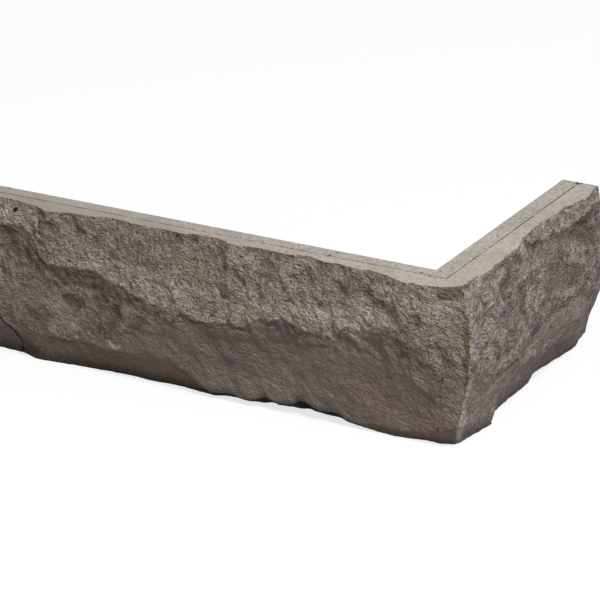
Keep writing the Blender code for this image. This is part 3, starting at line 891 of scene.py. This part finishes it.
class HewnFinish(Finish):
    """Broken and weathered cast stone, stained with pigment powders, with painted shade
    and highlights.
    """

    def __init__(self, colours):
        super().__init__("hewn_stone")
        self.colours = colours
        self.coarse = self.layer("coarse")
        self.side = self.layer("side")
        self.mottle = self.cloud(MOTTLE_BREADTH, detail=4.0, roughness=0.6)
        self.wander(WANDER_BREADTH, WANDER_REACH)
        self.long_place = self.drawn(LONG)
        self.short_place = self.drawn(SHORT)
        self.grain = self.grains(GRAIN_BREADTH, 2.0, 0.65)
        self.grit = self.grains(GRIT_BREADTH, 1.0, 0.6)
        self.flecks = self.less(self.grain, 0.5)
        self.fray = self.product(self.flecks, FRAY)
        self.lip, self.overhung = self.crest_bands()
        self.bare, self.foot_edge = self.foot_bands()
        self.rim, self.rim_edge = self.rim_bands()
        # Pale stone together with painted highlights on the lip, the foot's edge and the low arris.
        self.rubbed_and_highlit = self.most(self.layer("pale"), self.lip, self.foot_edge)
        self.unrubbed_unhighlit = self.ranged(self.rubbed_and_highlit, 0.0, 1.0, 1.0, 0.30)
        self.pits = self.dark_pits()
        colour = self.shaded(self.tinted(), self.lightness())
        colour = self.blend(self.dust_and_shade(), colour, opaque(colours.dust_and_shade))
        colour = self.blend(self.shade(), colour, opaque(colours.shade))
        self.settle(colour, 0.95, self.height(), 1.0, HEWN_RELIEF)

    def drawn(self, leg):
        """The place, drawn in along a leg's grain, so that a pattern on it is drawn out there."""
        bed = tuple(GRAIN_BEDS[leg])
        along = self.vector("DOT_PRODUCT", {0: self.place, 1: bed}, "Value")
        back = self.product(along, 1.0 / FINE_STRETCHES[leg] - 1.0)
        return self.vector("ADD", {0: self.place, 1: self.vector("SCALE", {0: bed, "Scale": back})})

    def grains(self, breadth, detail, roughness):
        """Noise that is drawn out along each leg's own bed."""
        return self.mixed(
            self.side, self.cloud(breadth, detail, roughness, self.long_place),
            self.cloud(breadth, detail, roughness, self.short_place))

    def by_coarse(self, on_smooth, on_coarse):
        return self.ranged(self.coarse, 0.0, 1.0, on_smooth, on_coarse)

    def by_leg(self, on_long, on_short):
        return self.ranged(self.side, 0.0, 1.0, on_long, on_short)

    def crest_bands(self):
        """The pale lip over the crest, partly painted highlight, and the painted shade under it."""
        crest = self.total(self.layer("crest"), self.fray)
        edge = self.maths("DIVIDE", crest, self.layer("crest_softness"))
        fade = self.maths("DIVIDE", crest, self.layer("lip_fade"))
        lip = self.product(
            self.ranged(edge, -0.0003, 0.0005), self.layer("crest_lip"),
            self.ranged(fade, 0.2, 1.0, 1.0, 0.0))
        overhung = self.product(
            self.ranged(edge, -0.0008, 0.0004, 1.0, 0.0), self.layer("crest_shade"),
            self.ranged(crest, -0.0130, -0.0020))
        return lip, overhung

    def foot_bands(self):
        """The bare stone of the foot, and the pale edge above it, a painted highlight along the edge.
        """
        foot = self.total(self.layer("foot"), self.product(self.fray, 0.5))
        edge = self.product(
            self.ranged(foot, -0.0010, -0.0002), self.ranged(foot, -0.0002, 0.0006, 1.0, 0.0), 0.22)
        return self.ranged(foot, -0.0004, 0.0004), edge

    def rim_bands(self):
        """The band beside the arris, partly an olive tint and partly painted shadow under its overhang,
        and its darker edge, which is painted shadow.
        """
        arris = self.total(self.layer("arris"), self.fray)
        rim = self.product(
            self.ranged(arris, -0.0003, 0.0003), self.layer("rim"),
            self.ranged(arris, RIM_BREADTH * 0.4, RIM_BREADTH, 1.0, 0.0))
        edge = self.product(
            self.ranged(arris, -0.0002, 0.0002), self.layer("rim"),
            self.ranged(arris, 0.0004, 0.0012, 0.25, 0.0))
        return rim, edge

    # Dust and painted shade in the pits between the grains.
    def dark_pits(self):
        pits = self.most(
            self.ranged(self.grain, 0.28, 0.42, 0.65, 0.0),
            self.ranged(self.grit, 0.26, 0.38, 0.6, 0.0))
        return self.product(pits, self.by_coarse(0.25, 0.90), self.by_leg(1.0, 1.05), self.unrubbed_unhighlit)

    def tinted(self):
        """The stone's colours, with each kind of weathering over them in turn, painted highlights and
        painted shade among them.
        """
        colours = self.colours
        lilac = self.ranged(self.cloud(LILAC_BREADTH, 3.0, 0.6), 0.42, 0.58)
        colour = self.blend(
            self.most(lilac, self.side), opaque(colours.smooth), opaque(colours.lilac))
        colour = self.blend(self.coarse, colour, opaque(colours.coarse))
        bloom = self.product(self.layer("bloom"), self.ranged(self.lip, 0.0, 0.8, 1.0, 0.1))
        for share, tint, most in (
                (self.most(self.layer("rust"), self.product(self.bare, 0.85)), colours.rust, 0.8),
                (self.rubbed_and_highlit, colours.pale, 0.85),
                (self.most(self.layer("olive"), self.rim), colours.olive, 0.85),
                (bloom, colours.bloom, 0.7),
                (self.most(self.layer("stain_and_shade"), self.overhung), colours.stain_and_shade, 0.8)):
            gritty = self.product(self.flecks, 1.3, self.ranged(share, 0.0, 0.4))
            share = self.ranged(self.total(share, gritty), 0.05, 0.95, 0.0, most)
            colour = self.blend(share, colour, opaque(tint))
        return colour

    def lightness(self):
        """How light the stone is, with its clouds, dapples, flecks and dust, and painted light that
        makes the short leg lighter.
        """
        dapples = self.product(
            self.ranged(self.layer("dapple"), 0.0, 1.0, -0.19, 0.13), self.by_leg(1.0, 1.9),
            self.by_coarse(0.5, 1.0))
        flecks = self.product(self.flecks, self.by_coarse(0.45, 0.8))
        dusty = self.most(self.by_coarse(0.8, 1.0), self.product(self.bare, 1.7))
        dust = self.product(self.less(self.grit, 0.5), dusty)
        light = self.total(self.ranged(self.mottle, 0.25, 0.75, 0.90, 1.10), dapples, flecks, dust)
        light = self.most(self.maths("MINIMUM", light, 1.08), 0.30)
        # Painted light: the short leg is made lighter than the long leg, as if more light fell on it.
        return self.product(light, self.by_leg(1.06, 1.16))

    def dust_and_shade(self):
        """How much dust and painted shade sit in the hollows, the pits, the cracks and the rim's edge.
        """
        hollows = self.product(self.layer("hollow"), self.by_coarse(0.05, 0.25), self.unrubbed_unhighlit)
        breadth, reach = CRACK_WAVE
        astray = self.product(self.less(self.cloud(breadth), 0.5), reach)
        crack = self.maths("ABSOLUTE", self.total(self.layer("crack"), self.fray, astray))
        crack = self.product(self.ranged(crack, 0.0001, 0.0006, 0.65, 0.0), self.layer("cracked"))
        return self.most(hollows, self.pits, crack, self.rim_edge)

    def shade(self):
        return self.product(self.ranged(self.layer("shade"), 0.0, 1.0), self.layer("shade_depth"))

    def height(self):
        """The finest relief: crumbs, grains and grit, and the pits among them."""
        crumbs = self.grains(CRUMB_BREADTH, 1.0, 0.5)
        height = self.total(self.grain, self.product(self.grit, 0.50), crumbs)
        height = self.less(height, self.product(self.pits, 0.25))
        return self.product(height, self.by_coarse(0.27, 1.20), self.by_leg(1.0, 1.15))


def strip_finish(name, colour, far_colour, speckle):
    """Cast stone as it left the mould, with a dark seam, and pinholes and air holes painted dark for
    the shade inside them.
    """
    finish = Finish(name)
    mottle = finish.cloud(MOTTLE_BREADTH, detail=4.0)
    grain = finish.cloud(STRIP_GRAIN, detail=3.0, roughness=0.6)
    holes = finish.ranged(finish.cells(HOLE_CELL), 0.03, 0.16, 0.60, 1.0)
    for across, along, radius in PINHOLES:
        place = (WALL_X + across * MM, WALL_Y + along * MM, CAST_HIGH.z)
        pinhole = finish.near(place, radius * MM)
        holes = finish.maths("MINIMUM", holes, finish.less(1.0, finish.product(pinhole, 0.85)))
    split = finish.node("ShaderNodeSeparateXYZ", {0: finish.place})
    closer = finish.ranged(split.outputs["X"], WALL_X - FAR_END, WALL_X - FAR_START)
    colour = finish.blend(closer, opaque(far_colour), opaque(colour))
    flecks = finish.product(
        finish.less(grain, 0.5), finish.ranged(closer, 0.0, 0.6, 0.35 * speckle, speckle))
    light = finish.total(finish.ranged(mottle, 0.25, 0.75, 0.91, 1.07), flecks)
    broken = finish.ranged(finish.cloud(SEAM_BREAK, detail=3.0), 0.36, 0.52, 0.10, 0.85)
    seam = finish.product(finish.ranged(finish.layer("seam"), 0.0, 0.25), broken)
    light = finish.product(light, holes, finish.less(1.0, seam))
    finish.settle(
        finish.shaded(colour, light), 0.92, finish.product(grain, holes), 0.35, STRIP_RELIEF)
    return finish.material


def link_mesh(name, bm, materials):
    """A new object at the origin for a finished mesh."""
    mesh = bpy.data.meshes.new(name)
    bm.to_mesh(mesh)
    bm.free()
    for material in materials:
        mesh.materials.append(material)
    item = bpy.data.objects.new(name, mesh)
    bpy.context.scene.collection.objects.link(item)
    return item


class CLADDING_OT_hew_stone(bpy.types.Operator):
    """Hews the fine relief of the stone's rock face and weathers it"""

    bl_idname = "cladding.hew_stone"
    bl_label = "Hew Stone"

    def execute(self, context):
        sizes = context.scene.corner_sizes
        colours = context.scene.corner_colours
        bm = bmesh.new()
        bm.from_mesh(frame["nodes"][STONE_NODE].data)
        bmesh.ops.remove_doubles(bm, verts=bm.verts, dist=MERGE_DISTANCE)
        sort_faces(bm)
        join_beds(bm)
        inner = refine(bm, sizes.cuts, sizes.softening)
        weather(bm, inner, sizes)
        bmesh.ops.triangulate(bm, faces=[face for face in bm.faces if len(face.verts) > 4])
        for face in bm.faces:
            face.smooth = True
        for edge in bm.edges:
            kinds = {is_hewn(face) for face in edge.link_faces}
            gentle = edge.calc_face_angle(0.0) < SHARP_ANGLE
            edge.smooth = len(kinds) == 1 and (True in kinds or gentle)
        stone = link_mesh("hewn_corner_stone", bm, (
            HewnFinish(colours).material,
            strip_finish("moulded_front_strip", colours.front_strip, colours.front_far, 1.3),
            strip_finish("moulded_back", colours.back_strip, colours.back_far, 1.8)))
        if len(stone.data.polygons) < len(frame["nodes"][STONE_NODE].data.polygons):
            raise RuntimeError("The stone lost faces while it was hewn.")
        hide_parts(STONE_NODE)
        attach(stone, "root")
        return {"FINISHED"}


def seen_rays(tree, kinds):
    """One for rays of the given kinds, and nothing for the rays that light the stone."""
    rays = tree.nodes.new("ShaderNodeLightPath")
    seen = rays.outputs[kinds[0]]
    for kind in kinds[1:]:
        either = tree.nodes.new("ShaderNodeMath")
        either.operation = "MAXIMUM"
        tree.links.new(seen, either.inputs[0])
        tree.links.new(rays.outputs[kind], either.inputs[1])
        seen = either.outputs[0]
    return seen


def floor_finish():
    """White paper, which the camera sees as white and which keeps the stone's shadow."""
    material = bpy.data.materials.new("white_paper")
    material.use_nodes = True
    tree = material.node_tree
    shader = tree.nodes["Principled BSDF"]
    shader.inputs["Base Color"].default_value = FLOOR_COLOUR
    shader.inputs["Roughness"].default_value = 1.0
    shader.inputs["Specular IOR Level"].default_value = 0.0
    shader.inputs["Emission Color"].default_value = WHITE
    glow = tree.nodes.new("ShaderNodeMath")
    glow.operation = "MULTIPLY"
    glow.inputs[1].default_value = FLOOR_GLOW
    tree.links.new(seen_rays(tree, ("Is Camera Ray", "Is Glossy Ray")), glow.inputs[0])
    tree.links.new(glow.outputs[0], shader.inputs["Emission Strength"])
    return material


def white_world(sky):
    """White behind everything for the camera, and an even sky for the light."""
    world = bpy.data.worlds.new("studio")
    bpy.context.scene.world = world
    world.use_nodes = True
    tree = world.node_tree
    background = tree.nodes["Background"]
    background.inputs["Color"].default_value = WHITE
    seen = seen_rays(tree, ("Is Camera Ray", "Is Glossy Ray", "Is Transmission Ray"))
    strength = tree.nodes.new("ShaderNodeMapRange")
    strength.inputs["To Min"].default_value = sky
    strength.inputs["To Max"].default_value = 1.0
    tree.links.new(seen, strength.inputs["Value"])
    tree.links.new(strength.outputs["Result"], background.inputs["Strength"])


def add_lamp(name, place, aim, power, size):
    lamp = bpy.data.lights.new(name, "AREA")
    lamp.shape = "DISK"
    lamp.energy = power
    lamp.size = size
    item = bpy.data.objects.new(name, lamp)
    item.location = place
    item.rotation_euler = (Vector(aim) - Vector(place)).to_track_quat("-Z", "Y").to_euler()
    bpy.context.scene.collection.objects.link(item)


def add_camera():
    azimuth = math.radians(CAMERA_AZIMUTH)
    elevation = math.radians(CAMERA_ELEVATION)
    back = Vector((
        math.sin(azimuth) * math.cos(elevation), -math.cos(azimuth) * math.cos(elevation),
        math.sin(elevation)))
    camera = bpy.data.cameras.new("camera")
    camera.lens = CAMERA_LENS
    camera.sensor_width = 36.0
    item = bpy.data.objects.new("camera", camera)
    item.location = Vector(CAMERA_TARGET) + back * CAMERA_DISTANCE
    item.rotation_euler = (-back).to_track_quat("-Z", "Y").to_euler()
    bpy.context.scene.collection.objects.link(item)
    bpy.context.scene.camera = item


class CLADDING_OT_set_stage(bpy.types.Operator):
    """Lays the white floor and sets up the sky, the lamp and the camera"""

    bl_idname = "cladding.set_stage"
    bl_label = "Set Stage"

    def execute(self, context):
        studio = context.scene.corner_studio
        bm = bmesh.new()
        bmesh.ops.create_grid(bm, x_segments=1, y_segments=1, size=studio.floor_size / 2)
        bmesh.ops.translate(bm, verts=bm.verts, vec=(0.0, 0.0, -FLOOR_GAP))
        floor = link_mesh("studio_floor", bm, (floor_finish(),))
        white_world(studio.sky)
        add_lamp("key_lamp", KEY_PLACE, KEY_AIM, studio.key_power, studio.key_size)
        add_camera()
        context.scene.view_settings.view_transform = "Standard"
        return {"FINISHED"}


class CLADDING_PT_corner(bpy.types.Panel):
    """Sizes, colours and steps of the corner stone"""

    bl_idname = "CLADDING_PT_corner"
    bl_label = "Stone Cladding Corner"
    bl_space_type = "VIEW_3D"
    bl_region_type = "UI"
    bl_category = "Cladding"

    def draw(self, context):
        scene = context.scene
        for title, group in (
                ("Relief", scene.corner_sizes), ("Colours", scene.corner_colours),
                ("Studio", scene.corner_studio)):
            box = self.layout.box()
            box.label(text=title)
            for name in type(group).__annotations__:
                box.prop(group, name)
        self.layout.operator(CLADDING_OT_hew_stone.bl_idname)
        self.layout.operator(CLADDING_OT_set_stage.bl_idname)


CLASSES = (
    CornerSizes, CornerColours, CornerStudio, CLADDING_OT_hew_stone, CLADDING_OT_set_stage,
    CLADDING_PT_corner)


def register():
    for cls in CLASSES:
        bpy.utils.register_class(cls)
    bpy.types.Scene.corner_sizes = PointerProperty(type=CornerSizes)
    bpy.types.Scene.corner_colours = PointerProperty(type=CornerColours)
    bpy.types.Scene.corner_studio = PointerProperty(type=CornerStudio)


def unregister():
    del bpy.types.Scene.corner_studio
    del bpy.types.Scene.corner_colours
    del bpy.types.Scene.corner_sizes
    for cls in reversed(CLASSES):
        bpy.utils.unregister_class(cls)


def main():
    register()
    bpy.ops.cladding.hew_stone()
    bpy.ops.cladding.set_stage()


if __name__ == "__main__":
    main()
